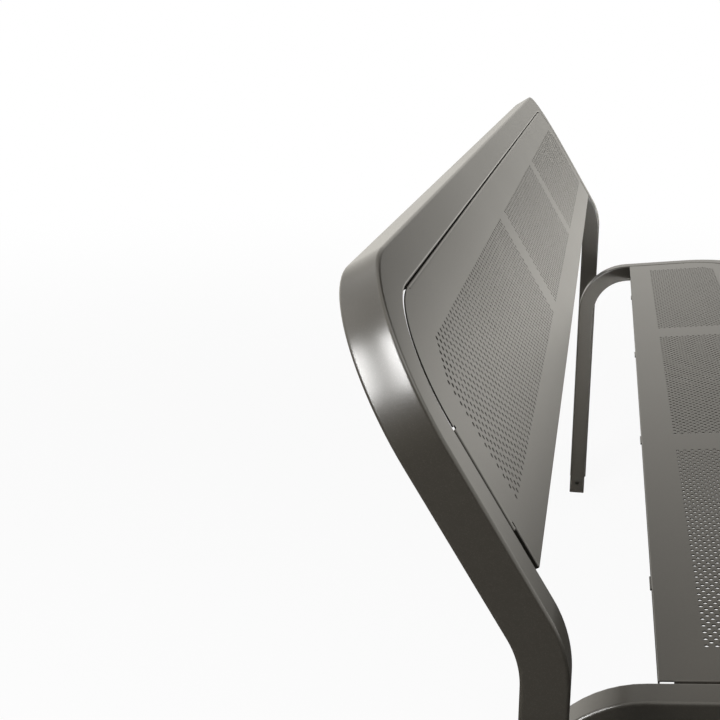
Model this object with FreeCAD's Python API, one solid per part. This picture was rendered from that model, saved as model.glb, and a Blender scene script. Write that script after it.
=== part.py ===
"""Public bench: two bent tube frames, each holding a folded sheet panel.

The back frame and the seat frame stand on their own pairs of rear legs, which
are set in the ground and bolted together through spacers. X runs along the
bench, the bench faces -Y, Z is up. The origin is midway between the legs, at
the level of the leg ends. Sizes are in millimetres and degrees.
"""
import FreeCAD, Part
import math
import os

# Square tubes of the two frames
back_tube = 34.0
seat_tube = 30.0
tube_wall = 2.5
tube_edge_radius = 2.2
leg_bend_radius = 85.0
corner_inside_radius = 90.0

# Sheet of both panels
sheet = 1.2
fold_radius = 1.1
flange_depth = 25.0
panel_gap = 2.2
relief_width = 2.5
relief_depth = 4.5

# Punched fields of both panels: one in the middle and one at each end. Their many
# small holes are drawn as a coarse grid of openings with about the same open area.
field_middle_length = 467.8
field_bridge = 56.4
field_margin = 38.3
opening_columns = 4
opening_rows = 3
opening_length_share = 0.7
opening_depth_share = 0.32

# Back frame and back panel
back_length = 1890.0
back_bend_height = 585.1
back_recline = 31.3
back_panel_rise = 43.7
back_panel_height = 204.4
back_step_height = 34.3
back_step_inset = 6.5
back_field_depth = 126.4
back_field_end_margin = 46.3
back_top_screw_count = 4

# Seat frame and seat panel; leg_space is the space between a seat leg and a back leg
leg_space = 67.5
seat_bend_height = 477.5
seat_rise = 6.2
seat_panel_setback = 84.5
seat_panel_depth = 195.0
seat_side_start = 12.0
seat_field_depth = 119.7
seat_field_end_margin = 53.2

# Short ribs under the seat's rear edge
rib_count = 4
rib_end_distance = 174.0
rib_pitch = 391.0
rib_length = 32.0
rib_width = 25.0
rib_height = 18.0
rib_sheet = 2.0
rib_tab_proud = 1.6
slot_clearance = 0.3

# Legs: anchor holes and the bolted joints between the two frames
anchor_hole_diameter = 9.0
anchor_hole_height = 22.5
lower_bolt_height = 120.0
upper_bolt_height = 350.0
spacer_diameter = 24.0

# Leg bolts
bolt_diameter = 10.0
bolt_head_diameter = 18.0
bolt_head_height = 5.5
bolt_socket = 6.0
bolt_tip = 4.0
bolt_nut_hole = 13.0
bolt_nut_length = 14.0
washer_diameter = 21.0
washer_thickness = 2.0

# Panel screws
screw_diameter = 6.0
screw_head_diameter = 11.0
screw_head_height = 3.3
screw_socket = 4.0
screw_tip = 3.0
screw_nut_hole = 9.0
screw_nut_length = 10.0
gap_spacer_diameter = 16.0

# Clearances of round fits, on the radius
hole_clearance = 0.3
nut_clearance = 0.05
thread_clearance = 0.1
nut_bulge = 1.2
socket_share_of_head = 0.6
head_round_share = 0.5

V = FreeCAD.Vector
X_AXIS = V(1, 0, 0)
UP = V(0, 0, 1)
FRONT = V(0, -1, 0)
REAR = V(0, 1, 0)


def rounded_square(size, radius):
    """Return a closed wire: a square about the origin with rounded corners."""
    half = size / 2
    if radius <= 0:
        return Part.makePlane(size, size, V(-half, -half, 0)).OuterWire
    flat = half - radius
    slant = radius * math.sqrt(0.5)
    edges = []
    for turn in range(4):
        rotation = FreeCAD.Rotation(UP, 90 * turn)
        side_start = rotation.multVec(V(-flat, -half, 0))
        side_end = rotation.multVec(V(flat, -half, 0))
        arc_middle = rotation.multVec(V(flat + slant, -flat - slant, 0))
        arc_end = rotation.multVec(V(half, -flat, 0))
        edges.append(Part.LineSegment(side_start, side_end).toShape())
        edges.append(Part.Arc(side_end, arc_middle, arc_end).toShape())
    return Part.Wire(edges)


def tube_section(size):
    """Return a tube's cross-section, a ring in the XY plane."""
    outer = rounded_square(size, tube_edge_radius)
    inner = rounded_square(size - 2 * tube_wall, tube_edge_radius - tube_wall)
    return Part.makeFace([outer, inner], "Part::FaceMakerBullseye")


def bent_tube(size, start, steps):
    """Walk the tube's section up from start through straight runs and bends."""
    section = tube_section(size)
    section.translate(start)
    place = V(start)
    heading = V(UP)
    pieces = []
    for step in steps:
        if step[0] == "run":
            travel = heading * step[1]
            pieces.append(section.extrude(travel))
            section.translate(travel)
            place = place + travel
        else:
            toward, radius, angle = step[1:]
            centre = place + toward * radius
            axis = heading.cross(toward)
            pieces.append(section.revolve(centre, axis, angle))
            section.rotate(centre, axis, angle)
            rotation = FreeCAD.Rotation(axis, angle)
            place = centre + rotation.multVec(place - centre)
            heading = rotation.multVec(heading)
    return pieces[0].multiFuse(pieces[1:]).removeSplitter()


def tangent_length(radius, angle):
    """Return how far a bend reaches along each of its two straight runs."""
    return radius * math.tan(math.radians(angle) / 2)


def loop_frame(size, length, bend_height, slope, toward, bend_angle, reach):
    """Bend one frame: leg, bend to the slope, corner, rail, and back down.

    slope is the direction of the side rails away from the legs, and reach is
    the distance from the leg bend to the inside of the far rail.
    """
    half_length = (length - size) / 2
    corner_radius = corner_inside_radius + size / 2
    bend_tangent = tangent_length(leg_bend_radius, bend_angle)
    leg = bend_height - bend_tangent
    side = reach - bend_tangent - corner_inside_radius
    rail = 2 * (half_length - corner_radius)
    down_toward = (UP * -1) + slope * slope.dot(UP)
    down_toward.normalize()
    steps = [
        ("run", leg),
        ("bend", toward, leg_bend_radius, bend_angle),
        ("run", side),
        ("bend", X_AXIS * -1, corner_radius, 90),
        ("run", rail),
        ("bend", slope * -1, corner_radius, 90),
        ("run", side),
        ("bend", down_toward, leg_bend_radius, bend_angle),
        ("run", leg),
    ]
    return bent_tube(size, V(half_length, 0, 0), steps)


def cylinder(diameter, start, end):
    """Return a cylinder on the Z axis from one height to another."""
    return Part.makeCylinder(diameter / 2, end - start, V(0, 0, start))


def ring(outer, inner, start, end):
    """Return a round spacer on the Z axis."""
    return cylinder(outer, start, end).cut(cylinder(inner, start, end))


def hexagon(across_flats, start, end):
    """Return a hexagonal prism on the Z axis."""
    corner = across_flats / math.sqrt(3)
    points = []
    for number in range(7):
        angle = math.radians(60 * number)
        points.append(V(corner * math.cos(angle), corner * math.sin(angle), start))
    return Part.Face(Part.makePolygon(points)).extrude(V(0, 0, end - start))


def domed_screw(diameter, head_diameter, head_height, socket, length):
    """Return a round-headed screw: head below Z = 0, shank above it."""
    head = cylinder(head_diameter, -head_height, 0)
    rim = [edge for edge in head.Edges if edge.BoundBox.ZMax < -head_height / 2]
    head = head.makeFillet(head_height * head_round_share, rim)
    head = head.cut(hexagon(socket, -head_height, -head_height * (1 - socket_share_of_head)))
    return head.fuse(cylinder(diameter, 0, length)).removeSplitter()


def rivet_nut(hole, length, bore, wall_start):
    """Return a set rivet nut: a neck in the tube wall and a bulge behind it."""
    wall_end = wall_start + tube_wall
    neck = cylinder(hole - 2 * nut_clearance, wall_start, wall_end)
    bulge = cylinder(hole + 2 * nut_bulge, wall_end, wall_start + length)
    body = neck.fuse(bulge).removeSplitter()
    return body.cut(cylinder(bore, wall_start, wall_start + length))


def along(point, direction):
    """Return the placement that puts the Z axis at point along direction."""
    return FreeCAD.Placement(point, FreeCAD.Rotation(UP, direction))


def placed(shape, placement):
    """Return a copy of shape moved by placement."""
    copy = shape.copy()
    copy.Placement = placement.multiply(copy.Placement)
    return copy


def centred_box(size, middle):
    """Return a box of the given size about its middle point."""
    return Part.makeBox(size.x, size.y, size.z, middle - size / 2)


def folded_panel(half_length, depth, side_start, side_inset):
    """Fold one panel, in its own axes: x along, y from the free edge, z behind.

    The free edge is at y = 0. The far edge and the sides lie beside the frame's
    tube. The two far corners are round and have no flange, and a small relief
    is notched into the sheet where a flange stops at a round corner. With an
    inset, the sides are stepped in below side_start and have a flange of their own.
    """
    radius = corner_inside_radius - panel_gap
    slant = radius * (1 - math.sqrt(0.5))
    side_end = depth - radius
    inner = half_length - side_inset
    right = [V(inner, 0, 0)]
    if side_inset > 0:
        right += [V(inner, side_start, 0), V(half_length, side_start, 0)]
    right.append(V(half_length, side_end, 0))
    left = [V(-point.x, point.y, 0) for point in reversed(right)]
    arc_right = Part.Arc(right[-1], V(half_length - slant, depth - slant, 0), V(half_length - radius, depth, 0))
    arc_left = Part.Arc(V(radius - half_length, depth, 0), V(slant - half_length, depth - slant, 0), left[0])
    edges = [Part.LineSegment(a, b).toShape() for a, b in zip(right, right[1:])]
    edges.append(arc_right.toShape())
    edges.append(Part.LineSegment(arc_right.EndPoint, arc_left.StartPoint).toShape())
    edges.append(arc_left.toShape())
    edges += [Part.LineSegment(a, b).toShape() for a, b in zip(left, left[1:])]
    edges.append(Part.LineSegment(left[-1], right[0]).toShape())
    plate = Part.Face(Part.Wire(edges)).extrude(V(0, 0, sheet))
    far_half = half_length - radius - relief_width
    side_length = side_end - relief_width - side_start
    side_notch = V(relief_depth, relief_width, sheet)
    far_notch = V(relief_width, relief_depth, sheet)
    notches = []
    for side in (-1, 1):
        beside = V(side * (half_length - relief_depth / 2), side_end - relief_width / 2, sheet / 2)
        beyond = V(side * (far_half + relief_width / 2), depth - relief_depth / 2, sheet / 2)
        notches += [centred_box(side_notch, beside), centred_box(far_notch, beyond)]
        if side_inset > 0:
            above_step = V(side * (inner + relief_width / 2), side_start + relief_depth / 2, sheet / 2)
            notches.append(centred_box(far_notch, above_step))
    plate = plate.cut(notches)
    free_flange = Part.makeBox(2 * inner, sheet, flange_depth, V(-inner, 0, 0))
    far_flange = Part.makeBox(2 * far_half, sheet, flange_depth, V(-far_half, depth - sheet, 0))
    right_flange = Part.makeBox(sheet, side_length, flange_depth, V(half_length - sheet, side_start, 0))
    left_flange = Part.makeBox(sheet, side_length, flange_depth, V(-half_length, side_start, 0))
    flanges = [free_flange, far_flange, right_flange, left_flange]
    if side_inset > 0:
        flanges.append(Part.makeBox(sheet, side_start, flange_depth, V(inner - sheet, 0, 0)))
        flanges.append(Part.makeBox(sheet, side_start, flange_depth, V(-inner, 0, 0)))
    panel = plate.multiFuse(flanges).removeSplitter()
    front_rim = [
        edge for edge in panel.Edges
        if edge.BoundBox.ZMax < sheet / 4 and edge.BoundBox.XLength > half_length
    ]
    return panel.makeFillet(fold_radius, front_rim)


def field_openings(half_length, depth, end_margin):
    """Return the cutters for a panel's three fields, in the panel's axes."""
    middle = field_middle_length / 2
    end_start = middle + field_bridge
    end_length = half_length - end_margin - end_start
    row_depth = depth / opening_rows
    cutters = []
    for start, length in ((-middle, field_middle_length), (end_start, end_length), (-end_start, -end_length)):
        column_length = length / opening_columns
        for column in range(opening_columns):
            for row in range(opening_rows):
                x = start + column_length * (column + 0.5)
                y = field_margin + row_depth * (row + 0.5)
                size = V(abs(column_length) * opening_length_share, row_depth * opening_depth_share, sheet)
                cutters.append(centred_box(size, V(x, y, sheet / 2)))
    return cutters


def panel_fasteners(seats):
    """Return screws, spacers, nuts, flange holes and tube holes for the seats.

    A seat is a point on the flange's inner face and the direction to the tube.
    """
    wall_start = sheet + panel_gap
    length = wall_start + screw_nut_length + screw_tip
    shank_hole = screw_diameter + 2 * hole_clearance
    bore = screw_diameter + 2 * thread_clearance
    screw = domed_screw(screw_diameter, screw_head_diameter, screw_head_height, screw_socket, length)
    spacer = ring(gap_spacer_diameter, shank_hole, sheet, wall_start)
    nut = rivet_nut(screw_nut_hole, screw_nut_length, bore, wall_start)
    flange_hole = cylinder(shank_hole, 0, sheet)
    tube_hole = cylinder(screw_nut_hole, wall_start, wall_start + tube_wall)
    kinds = (screw, spacer, nut, flange_hole, tube_hole)
    return [[placed(kind, along(point, way)) for point, way in seats] for kind in kinds]


def seat_rib(middle):
    """Return one rib in the seat panel's axes, an inverted channel with a tab."""
    left = middle - rib_width / 2
    web_length = rib_tab_proud + sheet + rib_length
    web = Part.makeBox(rib_width, web_length, rib_sheet, V(left, -rib_tab_proud, sheet))
    wall_height = rib_height - rib_sheet
    wall_top = sheet + rib_sheet
    left_wall = Part.makeBox(rib_sheet, rib_length, wall_height, V(left, sheet, wall_top))
    right_wall = left_wall.copy()
    right_wall.translate(V(rib_width - rib_sheet, 0, 0))
    return web.multiFuse([left_wall, right_wall]).removeSplitter()


def rib_slot(middle):
    """Return the cutter for the slot that a rib's tab passes through."""
    width = rib_width + 2 * slot_clearance
    return Part.makeBox(width, sheet, rib_sheet + slot_clearance, V(middle - width / 2, 0, sheet))


def export(name, shapes):
    """Write one sub-part, a solid or a group of like solids."""
    shape = shapes[0] if len(shapes) == 1 else Part.makeCompound(shapes)
    shape.exportStep("parts/" + name + ".step")


# Directions of the two panels: along the slope away from the legs, and behind the face
recline = math.radians(back_recline)
back_up = V(0, math.sin(recline), math.cos(recline))
back_behind = V(0, math.cos(recline), -math.sin(recline))
rise = math.radians(seat_rise)
seat_ahead = V(0, -math.cos(rise), math.sin(rise))
seat_below = V(0, -math.sin(rise), -math.cos(rise))

# Places of the two panels, from the bends of their frames
back_middle = back_tube / 2
seat_middle = seat_tube / 2
back_origin = V(0, 0, back_bend_height) + back_up * back_panel_rise - back_behind * back_middle
seat_origin = V(0, 0, seat_bend_height) + seat_ahead * seat_panel_setback - seat_below * seat_middle
back_place = FreeCAD.Placement(back_origin, FreeCAD.Rotation(X_AXIS * -1, back_up, back_behind, "ZYX"))
seat_place = FreeCAD.Placement(seat_origin, FreeCAD.Rotation(X_AXIS, seat_ahead, seat_below, "ZYX"))
seat_length = back_length - 2 * (back_tube + leg_space)
back_half = back_length / 2 - back_tube - panel_gap
seat_half = seat_length / 2 - seat_tube - panel_gap
corner_start = corner_inside_radius - panel_gap

# Bent frames
back_frame = loop_frame(
    back_tube, back_length, back_bend_height, back_up, REAR, back_recline,
    back_panel_rise + back_panel_height + panel_gap,
)
seat_frame = loop_frame(
    seat_tube, seat_length, seat_bend_height, seat_ahead, FRONT, 90 - seat_rise,
    seat_panel_setback + seat_panel_depth + panel_gap,
)

# Folded panels
back_panel = folded_panel(back_half, back_panel_height, back_step_height, back_step_inset)
seat_panel = folded_panel(seat_half, seat_panel_depth, seat_side_start, 0)
back_panel = back_panel.cut(field_openings(back_half, back_field_depth, back_field_end_margin))
seat_panel = seat_panel.cut(field_openings(seat_half, seat_field_depth, seat_field_end_margin))

# Ribs, with their slots in the seat's rear flange
rib_first = rib_end_distance - seat_half
rib_middles = [rib_first + rib_pitch * number for number in range(rib_count)]
ribs = [seat_rib(middle) for middle in rib_middles]
for middle in rib_middles:
    seat_panel = seat_panel.cut(rib_slot(middle))

# Seats of the back panel's screws: along the top flange and one in each side flange
top_pitch = 2 * (back_half - corner_start) / back_top_screw_count
top_first = corner_start - back_half + top_pitch / 2
back_side_middle = (back_step_height + back_panel_height - corner_start - relief_width) / 2
back_seats = []
for number in range(back_top_screw_count):
    back_seats.append((V(top_first + top_pitch * number, back_panel_height - sheet, back_middle), REAR))
for side in (-1, 1):
    back_seats.append((V(side * (back_half - sheet), back_side_middle, back_middle), X_AXIS * side))

# Seats of the seat panel's screws: between the ribs in front, and two in each side flange
seat_side_length = seat_panel_depth - corner_start - relief_width - seat_side_start
seat_seats = []
for middle in rib_middles[:-1]:
    seat_seats.append((V(middle + rib_pitch / 2, seat_panel_depth - sheet, seat_middle), REAR))
for side in (-1, 1):
    for quarter in (1, 3):
        along_side = seat_side_start + seat_side_length * quarter / 4
        seat_seats.append((V(side * (seat_half - sheet), along_side, seat_middle), X_AXIS * side))

# Screws, gap spacers and rivet nuts of the panels, and the holes they need
back_screws, back_spacers, back_nuts, back_flange_holes, back_tube_holes = panel_fasteners(back_seats)
seat_screws, seat_spacers, seat_nuts, seat_flange_holes, seat_tube_holes = panel_fasteners(seat_seats)
back_panel = back_panel.cut(back_flange_holes)
seat_panel = seat_panel.cut(seat_flange_holes)
back_frame = back_frame.cut([placed(hole, back_place) for hole in back_tube_holes])
seat_frame = seat_frame.cut([placed(hole, seat_place) for hole in seat_tube_holes])

# Joints between the legs: bolt and washer outside the back leg, spacer, nut in the seat leg
seat_wall = back_tube + leg_space
shank_hole = bolt_diameter + 2 * hole_clearance
bolt_length = washer_thickness + seat_wall + bolt_nut_length + bolt_tip
bolt = domed_screw(bolt_diameter, bolt_head_diameter, bolt_head_height, bolt_socket, bolt_length)
bolt.translate(V(0, 0, -washer_thickness))
washer = ring(washer_diameter, shank_hole, -washer_thickness, 0)
spacer = ring(spacer_diameter, shank_hole, back_tube, seat_wall)
nut = rivet_nut(bolt_nut_hole, bolt_nut_length, bolt_diameter + 2 * thread_clearance, seat_wall)
back_leg_hole = cylinder(shank_hole, 0, back_tube)
seat_leg_hole = cylinder(bolt_nut_hole, seat_wall, seat_wall + tube_wall)
anchor_hole = cylinder(anchor_hole_diameter, 0, seat_wall + seat_tube)
leg_bolts = []
leg_washers = []
leg_nuts = []
leg_spacers = {}
for side_name, side in (("left", -1), ("right", 1)):
    for level_name, height in (("lower", lower_bolt_height), ("upper", upper_bolt_height)):
        joint = along(V(side * back_length / 2, 0, height), X_AXIS * -side)
        leg_bolts.append(placed(bolt, joint))
        leg_washers.append(placed(washer, joint))
        leg_nuts.append(placed(nut, joint))
        leg_spacers["leg_spacer_" + level_name + "_" + side_name] = placed(spacer, joint)
        back_frame = back_frame.cut(placed(back_leg_hole, joint))
        seat_frame = seat_frame.cut(placed(seat_leg_hole, joint))
    anchor = placed(anchor_hole, along(V(side * back_length / 2, 0, anchor_hole_height), X_AXIS * -side))
    back_frame = back_frame.cut(anchor)
    seat_frame = seat_frame.cut(anchor)

# Files, one for each sub-part
os.makedirs("parts", exist_ok=True)
export("back_frame", [back_frame])
export("seat_frame", [seat_frame])
export("back_panel", [placed(back_panel, back_place)])
export("seat_panel", [placed(seat_panel, seat_place)])
for number, rib in enumerate(ribs):
    export("seat_rib_" + str(number + 1), [placed(rib, seat_place)])
for name, shape in leg_spacers.items():
    export(name, [shape])
export("leg_bolts", leg_bolts)
export("leg_washers", leg_washers)
export("leg_rivet_nuts", leg_nuts)
export("back_panel_screws", [placed(shape, back_place) for shape in back_screws])
export("back_panel_spacers", [placed(shape, back_place) for shape in back_spacers])
export("back_panel_rivet_nuts", [placed(shape, back_place) for shape in back_nuts])
export("seat_panel_screws", [placed(shape, seat_place) for shape in seat_screws])
export("seat_panel_spacers", [placed(shape, seat_place) for shape in seat_spacers])
export("seat_panel_rivet_nuts", [placed(shape, seat_place) for shape in seat_nuts])
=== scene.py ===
"""Public bench with a reclined back: two bent tube frames that hold perforated sheet panels.

X runs along the bench, it faces -Y, Z is up, and lengths are in metres. The legs
end at Z = 0.
"""
import math

import bpy
from mathutils import Matrix, Vector


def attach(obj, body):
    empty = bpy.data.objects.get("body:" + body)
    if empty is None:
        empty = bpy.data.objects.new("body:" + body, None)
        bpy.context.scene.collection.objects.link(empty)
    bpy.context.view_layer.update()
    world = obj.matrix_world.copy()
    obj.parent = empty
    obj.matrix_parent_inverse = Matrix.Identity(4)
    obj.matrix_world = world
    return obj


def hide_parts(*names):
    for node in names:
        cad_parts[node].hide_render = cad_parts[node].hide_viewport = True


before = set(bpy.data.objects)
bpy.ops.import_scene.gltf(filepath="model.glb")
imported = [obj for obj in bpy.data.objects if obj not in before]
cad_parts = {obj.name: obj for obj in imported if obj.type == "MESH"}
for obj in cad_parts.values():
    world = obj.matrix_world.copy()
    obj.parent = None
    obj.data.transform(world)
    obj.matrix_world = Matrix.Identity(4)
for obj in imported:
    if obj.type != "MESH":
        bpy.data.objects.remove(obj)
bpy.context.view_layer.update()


# Back frame: one square steel tube bent up from the right leg into the recline, round
# both top corners and down to the left leg, its outer wall a little drawn in round the
# corners. The legs are cut square, set in the ground and cross-drilled for an anchor rod.
back_tube = 0.034
back_length = 1.890
back_bend_height = 0.5851
back_recline = math.radians(31.3)
back_panel_rise = 0.0437
back_panel_height = 0.2044
panel_gap = 0.0022
tube_wall = 0.0025
tube_edge = 0.003
leg_bend_radius = 0.085
corner_inside_radius = 0.090
corner_sink = 0.002
leg_bend_cuts = 14
corner_cuts = 24
quarter = math.radians(90)
smooth_below = math.radians(30)
weld_distance = 0.00001
anchor_hole_radius = 0.0045
anchor_hole_height = 0.0225
drill_length = 0.06
drill_sides = 24
coat_grey = (0.040, 0.0355, 0.028, 1)
coat_grey_light = (0.050, 0.0445, 0.035, 1)
coat_fleck = (0.12, 0.11, 0.09, 1)


def start_piece(name):
    """Add a unit square as the start of a piece, with nothing else selected, and edit it."""
    bpy.ops.object.select_all(action="DESELECT")
    bpy.ops.mesh.primitive_plane_add(size=1)
    piece = bpy.context.object
    piece.name = name
    piece.data.name = name
    bpy.ops.object.mode_set(mode="EDIT")
    return piece


def add_modifier(piece, kind, **settings):
    """Give the piece one modifier and apply it."""
    modifier = piece.modifiers.new(kind.lower(), kind)
    for name, value in settings.items():
        setattr(modifier, name, value)
    bpy.context.view_layer.objects.active = piece
    bpy.ops.object.modifier_apply(modifier=modifier.name)


def close_and_face_out():
    """Join the points that lie on each other and turn all faces outwards."""
    bpy.ops.mesh.select_all(action="SELECT")
    bpy.ops.mesh.remove_doubles(threshold=weld_distance)
    bpy.ops.mesh.normals_make_consistent(inside=False)


def sink_corner(piece, centre, outward, slope, radius):
    """Sink the middle of the outer wall round one corner, most at the middle of the bend."""
    for cut in range(1, corner_cuts):
        angle = quarter * cut / corner_cuts
        outer = outward * math.cos(angle) + slope * math.sin(angle)
        spot = centre + outer * radius
        bpy.ops.mesh.select_all(action="DESELECT")
        bpy.ops.object.mode_set(mode="OBJECT")
        nearest = min(piece.data.vertices, key=lambda vertex: (vertex.co - spot).length)
        nearest.select = True
        bpy.ops.object.mode_set(mode="EDIT")
        bpy.ops.transform.translate(value=outer * -corner_sink * math.sin(2 * angle))


def draw_frame(name, size, half_length, bend_height, slope, toward, bend_angle, reach):
    """Draw a frame's tube up one leg, out along the slope, along the rail and back down."""
    corner_radius = corner_inside_radius + size / 2
    bend_tangent = leg_bend_radius * math.tan(bend_angle / 2)
    leg = bend_height - bend_tangent
    side = reach - bend_tangent - corner_inside_radius
    rail = 2 * (half_length - corner_radius)
    along = Vector((1, 0, 0))
    up = Vector((0, 0, 1))
    down_toward = (slope * slope.z - up).normalized()
    steps = [
        (leg, toward, leg_bend_radius, bend_angle, leg_bend_cuts),
        (side, -along, corner_radius, quarter, corner_cuts),
        (rail, -slope, corner_radius, quarter, corner_cuts),
        (side, down_toward, leg_bend_radius, bend_angle, leg_bend_cuts),
        (leg, None, 0, 0, 0),
    ]
    piece = start_piece(name)
    bpy.ops.transform.resize(value=(size, size, 1))
    bpy.ops.mesh.bevel(offset=tube_edge, segments=5, profile=0.5, affect="VERTICES")
    bpy.ops.mesh.delete(type="ONLY_FACE")
    bpy.ops.mesh.select_all(action="SELECT")
    bpy.ops.mesh.subdivide(number_cuts=1)
    bpy.ops.transform.translate(value=(half_length, 0, 0))
    place = Vector((half_length, 0, 0))
    heading = up
    for run, bend_toward, radius, angle, cuts in steps:
        travel = heading * run
        bpy.ops.mesh.extrude_region_move(TRANSFORM_OT_translate={"value": travel})
        place = place + travel
        if bend_toward:
            centre = place + bend_toward * radius
            axis = heading.cross(bend_toward)
            bpy.ops.mesh.spin(steps=cuts, angle=-angle, center=centre, axis=axis)
            turn = Matrix.Rotation(angle, 3, axis)
            place = centre + turn @ (place - centre)
            heading = turn @ heading
    close_and_face_out()
    corner_middle = up * bend_height + slope * (reach - corner_inside_radius)
    for outward in (-along, along):
        centre = corner_middle + outward * (half_length - corner_radius)
        sink_corner(piece, centre, outward, slope, corner_radius + size / 2)
    bpy.ops.object.mode_set(mode="OBJECT")
    add_modifier(piece, "SOLIDIFY", thickness=tube_wall, offset=-1)
    return piece


def drill_legs(piece, half_length):
    """Drill each leg of a frame across, near its end."""
    for side in (-1, 1):
        bpy.ops.object.select_all(action="DESELECT")
        bpy.ops.mesh.primitive_cylinder_add(
            vertices=drill_sides, radius=anchor_hole_radius, depth=drill_length,
            location=(side * half_length, 0, anchor_hole_height), rotation=(0, quarter, 0),
        )
        drill = bpy.context.object
        add_modifier(piece, "BOOLEAN", operation="DIFFERENCE", solver="EXACT", object=drill)
        bpy.data.objects.remove(drill)


def finish_piece(piece, material, node):
    """Smooth the piece's curves, give it its material and stand it in for its node."""
    bpy.ops.object.select_all(action="DESELECT")
    piece.select_set(True)
    bpy.context.view_layer.objects.active = piece
    bpy.ops.object.shade_smooth_by_angle(angle=smooth_below)
    add_modifier(piece, "WEIGHTED_NORMAL", mode="FACE_AREA", weight=90, keep_sharp=True)
    piece.data.materials.clear()
    piece.data.materials.append(material)
    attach(piece, "root")
    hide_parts(node)


class Socket:
    """A socket of a material's nodes, on which Python's operators add Math nodes."""

    def __init__(self, tree, socket=None):
        self.tree = tree
        self.socket = socket

    def add(self, kind, settings, sockets, output=0):
        """Add a node, set its settings, fill or link its sockets, and return one output."""
        node = self.tree.nodes.new(kind)
        for name, value in settings.items():
            setattr(node, name, value)
        for name, value in sockets.items():
            if isinstance(value, Socket):
                self.tree.links.new(value.socket, node.inputs[name])
            else:
                node.inputs[name].default_value = value
        return Socket(self.tree, node.outputs[output] if node.outputs else None)

    def ease(self, start, end, low, high):
        """Ease from low to high while this value goes from start to end."""
        return self.add(
            "ShaderNodeMapRange", {"interpolation_type": "SMOOTHSTEP"},
            {"Value": self, "From Min": start, "From Max": end, "To Min": low, "To Max": high},
        )

    def mix(self, first, second):
        """Mix two colours by this value."""
        return self.add("ShaderNodeMix", {"data_type": "RGBA"}, {0: self, 6: first, 7: second}, 2)

    def math(self, operation, first, second):
        return self.add("ShaderNodeMath", {"operation": operation}, {0: first, 1: second})

    def __add__(self, other):
        return self.math("ADD", self, other)

    def __sub__(self, other):
        return self.math("SUBTRACT", self, other)

    def __rsub__(self, other):
        return self.math("SUBTRACT", other, self)

    def __mul__(self, other):
        return self.math("MULTIPLY", self, other)

    def __gt__(self, other):
        return self.math("GREATER_THAN", self, other)

    __radd__ = __add__
    __rmul__ = __mul__


def powder_coat(name, peel_scale):
    """Return the satin grey coat: a fine orange peel, sparse bright flecks, faint clouding."""
    material = bpy.data.materials.new(name)
    material.use_nodes = True
    tree = material.node_tree
    shader = tree.nodes["Principled BSDF"]
    nodes = Socket(tree)
    place = nodes.add("ShaderNodeTexCoord", {}, {}, "Object")
    cloud = nodes.add("ShaderNodeTexNoise", {}, {"Vector": place, "Scale": 5, "Detail": 4})
    peel = nodes.add("ShaderNodeTexNoise", {}, {"Vector": place, "Scale": peel_scale, "Detail": 2})
    fleck = nodes.add("ShaderNodeTexVoronoi", {}, {"Vector": place, "Scale": 2600}, "Color")
    fleck_level = nodes.add("ShaderNodeSeparateColor", {}, {"Color": fleck}, "Red")
    grey = cloud.mix(coat_grey, coat_grey_light)
    fleck_mask = (fleck_level > 0.9) * 0.25
    flecked = fleck_mask.mix(grey, coat_fleck)
    roughness = 0.26 + 0.05 * cloud + 0.04 * peel
    bump = nodes.add("ShaderNodeBump", {}, {"Strength": 0.03, "Distance": 0.0004, "Height": peel})
    tree.links.new(flecked.socket, shader.inputs["Base Color"])
    tree.links.new(roughness.socket, shader.inputs["Roughness"])
    tree.links.new(bump.socket, shader.inputs["Normal"])
    shader.inputs["Metallic"].default_value = 0.1
    shader.inputs["Specular IOR Level"].default_value = 0.9
    shader.inputs["Coat Weight"].default_value = 0.6
    shader.inputs["Coat Roughness"].default_value = 0.27
    return material


back_up = Vector((0, math.sin(back_recline), math.cos(back_recline)))
back_behind = Vector((0, math.cos(back_recline), -math.sin(back_recline)))
tube_coat = powder_coat("tube_coat", 700)
back_leg = (back_length - back_tube) / 2
back_reach = back_panel_rise + back_panel_height + panel_gap
back_frame = draw_frame(
    "back_loop", back_tube, back_leg, back_bend_height,
    back_up, Vector((0, 1, 0)), back_recline, back_reach,
)
drill_legs(back_frame, back_leg)
finish_piece(back_frame, tube_coat, "back_frame")


# Seat frame: a square steel tube bent forward from its own pair of rear legs, round
# both front corners and along the front rail. It stands just inside the back frame
# and carries the seat like a bracket, with no front legs.
seat_tube = 0.030
leg_space = 0.0675
seat_bend_height = 0.4775
seat_rise = math.radians(6.2)
seat_panel_setback = 0.0845
seat_panel_depth = 0.195
seat_ahead = Vector((0, -math.cos(seat_rise), math.sin(seat_rise)))
seat_below = Vector((0, -math.sin(seat_rise), -math.cos(seat_rise)))
seat_length = back_length - 2 * (back_tube + leg_space)
seat_leg = (seat_length - seat_tube) / 2
seat_reach = seat_panel_setback + seat_panel_depth + panel_gap
seat_frame = draw_frame(
    "seat_loop", seat_tube, seat_leg, seat_bend_height,
    seat_ahead, Vector((0, -1, 0)), quarter - seat_rise, seat_reach,
)
drill_legs(seat_frame, seat_leg)
finish_piece(seat_frame, tube_coat, "seat_frame")


# Back panel: steel sheet punched with three fields of staggered round holes, folded
# back along its edges and screwed inside the loop. The lower corners are stepped in
# and the upper ones are rounded to follow the tube.
sheet = 0.0012
fold = 0.0014
far_fold = 0.0028
far_gap = 0.001
flange_depth = 0.025
relief_width = 0.0025
relief_depth = 0.0045
far_relief_depth = 0.0025
fold_cuts = 4
panel_corner_cuts = 20
hole_radius = 0.0020
hole_profile = 0.087
half_pitch = 0.0058
row_count = 29
first_row = 0.0402
middle_steps = 80
bridge = 0.0602
back_row_pitch = 0.00438
back_end_steps = 98
back_cut_rows = 5
back_step_height = 0.0343
back_step_inset = 0.0065


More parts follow.
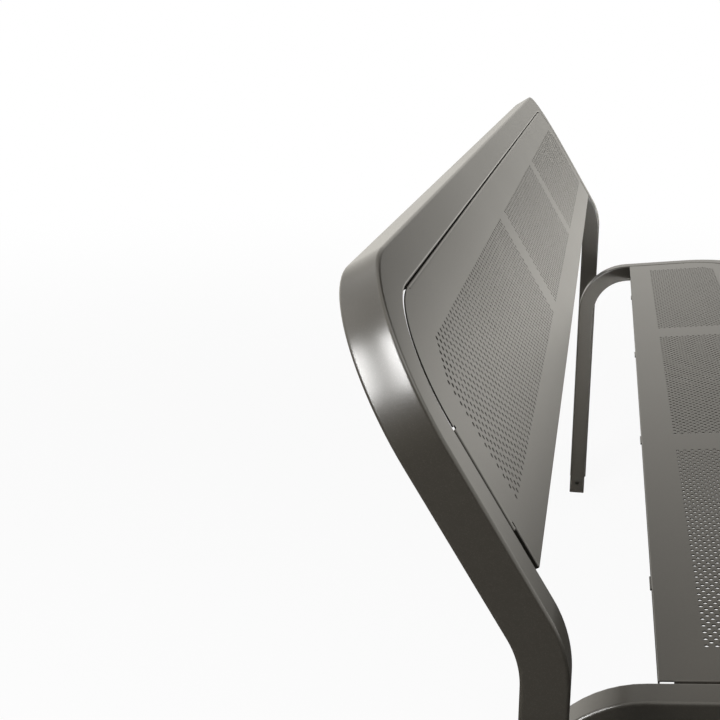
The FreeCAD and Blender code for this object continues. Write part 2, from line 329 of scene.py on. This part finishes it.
def move_point(x, y):
    """Draw a line on from the selected point."""
    bpy.ops.mesh.extrude_region_move(TRANSFORM_OT_translate={"value": (x, y, 0)})


def round_corner(x, y):
    """Draw a quarter circle on from the selected point, about the corner's centre."""
    bpy.ops.mesh.spin(steps=panel_corner_cuts, angle=-quarter, center=(x, y, 0), axis=(0, 0, 1))


def draw_outline(half, depth, corner, step_in, step_up):
    """Draw the outline of a panel's flat face, short of its folds by the fold's radius."""
    flange_end = depth - corner - relief_width
    if step_in:
        start = half - step_in - fold
        side = [(0, step_up - fold), (fold, 0), (0, relief_depth), (relief_width, 0), (0, -relief_depth)]
        side.append((step_in - fold - relief_width, 0))
    else:
        start = half
        side = [(0, step_up - fold), (-fold, 0)]
    side += [(0, flange_end - step_up), (fold - relief_depth, 0), (0, relief_width), (relief_depth, 0)]
    far = [(0, -far_relief_depth), (-relief_width, 0), (0, far_relief_depth - far_fold)]
    bpy.ops.mesh.merge(type="CENTER")
    bpy.ops.transform.translate(value=(start, fold, 0))
    for x, y in side:
        move_point(x, y)
    round_corner(half - corner, depth - corner)
    for x, y in far:
        move_point(x, y)
    move_point(2 * (corner + relief_width - half), 0)
    for x, y in reversed(far):
        move_point(x, -y)
    round_corner(corner - half, depth - corner)
    for x, y in reversed(side):
        move_point(x, -y)
    move_point(2 * start, 0)
    bpy.ops.mesh.select_all(action="SELECT")
    bpy.ops.mesh.remove_doubles(threshold=weld_distance)


def add_field(start, steps, row_pitch):
    """Add the net of points that one field's holes stand on, one step wider all round."""
    width = (steps + 2) * half_pitch
    height = (row_count + 1) * row_pitch
    middle = (start + steps * half_pitch / 2, first_row + (row_count - 1) * row_pitch / 2, 0)
    bpy.ops.mesh.select_all(action="DESELECT")
    bpy.ops.mesh.primitive_grid_add(
        x_subdivisions=steps + 2, y_subdivisions=row_count + 1, size=1, location=middle
    )
    bpy.ops.transform.resize(value=(width, height, 1), center_override=middle)


def pick_holes(piece, fields, row_pitch, cut_rows):
    """Select every second point of the fields, leaving out the cut corners at the far edge."""
    last_row = row_count - 1
    slack = 0.4 * half_pitch
    for vertex in piece.data.vertices:
        row = round((vertex.co.y - first_row) / row_pitch)
        for start, steps, cut_start, cut_end in fields:
            column = round((vertex.co.x - start) / half_pitch)
            over = max(0, row - (last_row - cut_rows))
            first = over if cut_start else 0
            last = steps - (over if cut_end else 0)
            in_field = -slack < vertex.co.x - start < steps * half_pitch + slack
            in_rows = 0 <= row <= last_row
            if in_field and in_rows and first <= column <= last and (column + row) % 2 == 0:
                vertex.select = True


def fold_edge(piece, picks, radius, centre, axis, angle):
    """Fold a flange along the edges that picks chooses by their two end points."""
    bpy.ops.mesh.select_all(action="DESELECT")
    bpy.ops.object.mode_set(mode="OBJECT")
    points = piece.data.vertices
    for edge in piece.data.edges:
        first, second = (points[number].co for number in edge.vertices)
        edge.select = picks(first, second)
    bpy.ops.object.mode_set(mode="EDIT")
    bpy.ops.mesh.spin(steps=fold_cuts, angle=angle, center=centre, axis=axis)
    bpy.ops.mesh.extrude_region_move(TRANSFORM_OT_translate={"value": (0, 0, flange_depth - radius)})


def punched_panel(
    name, half, depth, row_pitch, end_steps, cut_rows, step_in, step_up, origin, ahead, behind
):
    """Make one panel flat, fold its flanges and put it in place."""
    corner = corner_inside_radius - panel_gap
    middle_start = -middle_steps * half_pitch / 2
    end_start = -middle_start + bridge
    end_length = end_steps * half_pitch
    fields = [
        (-end_start - end_length, end_steps, True, False),
        (middle_start, middle_steps, False, False),
        (end_start, end_steps, False, True),
    ]
    piece = start_piece(name)
    bpy.ops.mesh.select_mode(type="VERT")
    draw_outline(half, depth, corner, step_in, step_up)
    for start, steps, cut_start, cut_end in fields:
        add_field(start, steps, row_pitch)
    bpy.ops.mesh.select_mode(type="EDGE")
    bpy.ops.mesh.select_all(action="DESELECT")
    bpy.ops.mesh.select_non_manifold(
        use_wire=True, use_boundary=True, use_multi_face=False, use_non_contiguous=False, use_verts=False
    )
    bpy.ops.mesh.fill(use_beauty=True)
    bpy.ops.mesh.select_mode(type="VERT")
    bpy.ops.mesh.select_all(action="DESELECT")
    bpy.ops.object.mode_set(mode="OBJECT")
    pick_holes(piece, fields, row_pitch, cut_rows)
    bpy.ops.object.mode_set(mode="EDIT")
    bpy.ops.mesh.bevel(
        offset_type="OFFSET", offset=hole_radius, segments=2, profile=hole_profile, affect="VERTICES",
        clamp_overlap=False,
    )
    bpy.ops.mesh.delete(type="FACE")
    bpy.ops.mesh.select_mode(type="EDGE")
    near = 0.0001
    fold_edge(
        piece, lambda a, b: abs(a.y - fold) < near and abs(b.y - fold) < near,
        fold, (0, fold, fold), (1, 0, 0), quarter,
    )
    fold_edge(
        piece, lambda a, b: min(a.y, b.y) > depth - far_fold - near and abs(a.y - b.y) < near
        and abs(a.z) + abs(b.z) < near and abs(a.x - b.x) > half,
        far_fold, (0, depth - far_fold, far_fold), (1, 0, 0), -quarter,
    )
    fold_lines = [half - fold]
    if step_in:
        fold_lines.append(half - step_in - fold)
    for line in fold_lines:
        for side in (-1, 1):
            fold_x = side * line
            fold_edge(
                piece, lambda a, b: abs(a.x - fold_x) + abs(b.x - fold_x) + abs(a.z) + abs(b.z) < near,
                fold, (fold_x, 0, fold), (0, 1, 0), side * quarter,
            )
    bpy.ops.mesh.select_all(action="SELECT")
    bpy.ops.mesh.normals_make_consistent(inside=False)
    bpy.ops.object.mode_set(mode="OBJECT")
    face = max(piece.data.polygons, key=lambda polygon: polygon.area if abs(polygon.normal.z) > 0.9 else 0)
    if face.normal.z > 0:
        bpy.ops.object.mode_set(mode="EDIT")
        bpy.ops.mesh.flip_normals()
        bpy.ops.object.mode_set(mode="OBJECT")
    add_modifier(piece, "SOLIDIFY", thickness=sheet, offset=-1)
    across = ahead.cross(behind)
    piece.matrix_world = Matrix((across, ahead, behind)).transposed().to_4x4()
    piece.location = origin
    bpy.ops.object.select_all(action="DESELECT")
    piece.select_set(True)
    bpy.context.view_layer.objects.active = piece
    bpy.ops.object.transform_apply(location=True, rotation=True, scale=True)
    return piece


sheet_coat = powder_coat("sheet_coat", 800)
back_half = back_length / 2 - back_tube - panel_gap
back_origin = Vector((0, 0, back_bend_height)) + back_up * back_panel_rise - back_behind * back_tube / 2
back_sheet_height = back_panel_height + panel_gap - far_gap
back_panel = punched_panel(
    "back_sheet", back_half, back_sheet_height, back_row_pitch, back_end_steps, back_cut_rows,
    back_step_inset, back_step_height, back_origin, back_up, back_behind,
)
finish_piece(back_panel, sheet_coat, "back_panel")


# Seat panel: the same punched sheet, shorter than the back by the space between the
# legs. It is folded down behind and in front and screwed inside the seat frame.
seat_row_pitch = 0.00414
seat_end_steps = 80
seat_cut_rows = 3
seat_side_start = 0.012
seat_half = seat_length / 2 - seat_tube - panel_gap
seat_origin = (
    Vector((0, 0, seat_bend_height)) + seat_ahead * seat_panel_setback - seat_below * seat_tube / 2
)
seat_panel = punched_panel(
    "seat_sheet", seat_half, seat_panel_depth, seat_row_pitch, seat_end_steps, seat_cut_rows,
    0, seat_side_start, seat_origin, seat_ahead, seat_below,
)
finish_piece(seat_panel, sheet_coat, "seat_panel")


# Seat ribs and leg spacers: short folded channels under the seat's rear edge, whose tabs
# show through its fold, and tube lengths between each pair of legs, all coated with
# the frames.
rib_count = 4


def coat_node(node, material):
    """Put a material on one of the frame's own nodes."""
    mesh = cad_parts[node].data
    mesh.materials.clear()
    mesh.materials.append(material)


for number in range(1, rib_count + 1):
    coat_node("seat_rib_" + str(number), sheet_coat)
for side in ("left", "right"):
    for level in ("lower", "upper"):
        coat_node("leg_spacer_" + level + "_" + side, tube_coat)


# Fasteners: stainless bolts, washers, screws, gap rings and rivet nuts, turned and
# stamped, with a fine brushed look.
steel_grey = (0.47, 0.465, 0.455, 1)
steel_grey_light = (0.60, 0.595, 0.58, 1)


def stainless(name):
    """Return plain stainless steel with fine turning marks."""
    material = bpy.data.materials.new(name)
    material.use_nodes = True
    tree = material.node_tree
    shader = tree.nodes["Principled BSDF"]
    nodes = Socket(tree)
    place = nodes.add("ShaderNodeTexCoord", {}, {}, "Object")
    marks = nodes.add("ShaderNodeTexNoise", {}, {"Vector": place, "Scale": 1800, "Detail": 3})
    smears = nodes.add("ShaderNodeTexNoise", {}, {"Vector": place, "Scale": 120, "Detail": 2})
    steel = smears.mix(steel_grey, steel_grey_light)
    roughness = 0.24 + 0.12 * marks + 0.08 * smears
    bump = nodes.add("ShaderNodeBump", {}, {"Strength": 0.1, "Distance": 0.0002, "Height": marks})
    tree.links.new(steel.socket, shader.inputs["Base Color"])
    tree.links.new(roughness.socket, shader.inputs["Roughness"])
    tree.links.new(bump.socket, shader.inputs["Normal"])
    shader.inputs["Metallic"].default_value = 1
    return material


fastener_steel = stainless("fastener_steel")
fastener_nodes = ["leg_bolts", "leg_washers", "leg_rivet_nuts"]
for panel in ("back_panel", "seat_panel"):
    fastener_nodes += [panel + "_screws", panel + "_spacers", panel + "_rivet_nuts"]
for node in fastener_nodes:
    coat_node(node, fastener_steel)


# Floor: a plain white studio floor that keeps the bench's soft shadow and fades into the
# white room further out. What the coat mirrors of it darkens towards the camera's side.
floor_size = 60
floor_grey = (0.85, 0.85, 0.85, 1)
plain_white = (1, 1, 1, 1)
warm_white = (1.0, 0.97, 0.90, 1)
bpy.ops.object.select_all(action="DESELECT")
bpy.ops.mesh.primitive_plane_add(size=floor_size)
floor = bpy.context.object
floor.name = "floor"
floor_paint = bpy.data.materials.new("floor_paint")
floor_paint.use_nodes = True
floor_tree = floor_paint.node_tree
floor_tree.nodes.clear()
floor_nodes = Socket(floor_tree)
camera_ray = floor_nodes.add("ShaderNodeLightPath", {}, {}, "Is Camera Ray")
glossy_ray = floor_nodes.add("ShaderNodeLightPath", {}, {}, "Is Glossy Ray")
through_ray = floor_nodes.add("ShaderNodeLightPath", {}, {}, "Is Transmission Ray")
floor_place = floor_nodes.add("ShaderNodeTexCoord", {}, {}, "Object")
from_bench = floor_nodes.add(
    "ShaderNodeVectorMath", {"operation": "LENGTH"}, {"Vector": floor_place}, "Value"
)
along_bench = floor_nodes.add("ShaderNodeSeparateXYZ", {}, {"Vector": floor_place}, "X")
fade = from_bench.ease(0.8, 5.0, 0.92, 1.0)
lit_side = along_bench.ease(-1.0, 9.5, 0.02, 1.2)
matt = floor_nodes.add("ShaderNodeBsdfDiffuse", {}, {"Color": floor_grey})
floor_tint = glossy_ray.mix(plain_white, warm_white)
glow = (1 - glossy_ray) + glossy_ray * lit_side
white = floor_nodes.add("ShaderNodeEmission", {}, {"Color": floor_tint, "Strength": glow})
share = (camera_ray + through_ray) * fade + glossy_ray
floor_look = floor_nodes.add("ShaderNodeMixShader", {}, {0: share, 1: matt, 2: white})
floor_nodes.add("ShaderNodeOutputMaterial", {}, {"Surface": floor_look})
floor.data.materials.append(floor_paint)


# Studio: a room that is white to the camera and dimmer to the bench, where the coat mirrors
# it bright at the far end, in front and overhead and dark on the camera's side. Five soft
# lamps light it, two of them strips that the near top corner mirrors as two streaks.
strip_shift = 0.42
world = bpy.data.worlds.new("studio")
bpy.context.scene.world = world
world.use_nodes = True
world_tree = world.node_tree
world_nodes = Socket(world_tree)
background = world_tree.nodes["Background"]
seen = world_nodes.add("ShaderNodeLightPath", {}, {}, "Is Camera Ray")
mirrored = world_nodes.add("ShaderNodeLightPath", {}, {}, "Is Glossy Ray")
through = world_nodes.add("ShaderNodeLightPath", {}, {}, "Is Transmission Ray")
direction = world_nodes.add("ShaderNodeTexCoord", {}, {}, "Generated")
toward_far_end = world_nodes.add("ShaderNodeSeparateXYZ", {}, {"Vector": direction}, "X")
toward_rear = world_nodes.add("ShaderNodeSeparateXYZ", {}, {"Vector": direction}, "Y")
upward = world_nodes.add("ShaderNodeSeparateXYZ", {}, {"Vector": direction}, "Z")
far_side = toward_far_end.ease(-0.6, 0.8, 0.1, 1.0)
rear_side = toward_rear.ease(-0.32, -0.06, 0.03, 1.0)
horizon = upward.ease(-0.03, 0.05, 1.0, 0.0)
front_wall = toward_rear.ease(-0.75, -0.45, 1.0, 0.0)
ceiling = upward.ease(0.55, 0.9, 0.0, 0.6)
low = upward.ease(0.0, 0.6, 1.02, 0.28)
white_share = seen + through
room = far_side * (rear_side + (1 - rear_side) * horizon) * low + front_wall + ceiling
strength = white_share + mirrored * room + (1 - white_share - mirrored) * (0.1 + 0.25 * far_side)
tint = mirrored.mix(plain_white, warm_white)
world_tree.links.new(tint.socket, background.inputs["Color"])
world_tree.links.new(strength.socket, background.inputs["Strength"])


def softbox(name, place, aim, width, height, power, turn=0, spread=180):
    """Add one soft rectangular lamp, turned about the way it shines, with or without a grid."""
    lamp = bpy.data.lights.new(name, "AREA")
    lamp.shape = "RECTANGLE"
    lamp.size = width
    lamp.size_y = height
    lamp.energy = power
    lamp.spread = math.radians(spread)
    holder = bpy.data.objects.new(name, lamp)
    bpy.context.collection.objects.link(holder)
    holder.location = place
    holder.rotation_euler = (Vector(aim) - Vector(place)).to_track_quat("-Z", "Y").to_euler()
    holder.rotation_euler.rotate_axis("Z", math.radians(turn))
    return holder


softbox("rear_top", (0.3, 1.9, 2.6), (0, 0, 0.6), 2.6, 1.8, 7)
softbox("front_top", (-1.0, -1.0, 2.7), (-0.9, 0.1, 0.8), 1.5, 1.5, 8)
for shift in (-strip_shift, strip_shift):
    strip = softbox("rear_left", (-2.07, 1.40, 1.78), (-0.93, 0.115, 0.77), 1.4, 0.3, 31, turn=-37)
    strip.location += strip.rotation_euler.to_matrix() @ Vector((0, shift, 0))
softbox("far_end", (-1.4, -0.9, 0.45), (0.9, 0, 0.42), 0.3, 0.3, 1.3, spread=26)


# Camera: beyond the bench's left end, a little above the back, looking along it.
camera_data = bpy.data.cameras.new("camera")
camera = bpy.data.objects.new("camera", camera_data)
bpy.context.collection.objects.link(camera)
camera_data.sensor_width = 36
camera_data.lens = 60.51
camera_data.clip_start = 0.05
yaw = math.radians(11.33)
pitch = math.radians(15.99)
look = Vector((math.cos(pitch) * math.cos(yaw), math.cos(pitch) * math.sin(yaw), -math.sin(pitch)))
camera.location = (-1.6721, -0.0197, 0.9979)
camera.rotation_euler = look.to_track_quat("-Z", "Y").to_euler()
bpy.context.scene.camera = camera
bpy.context.scene.view_settings.view_transform = "Standard"
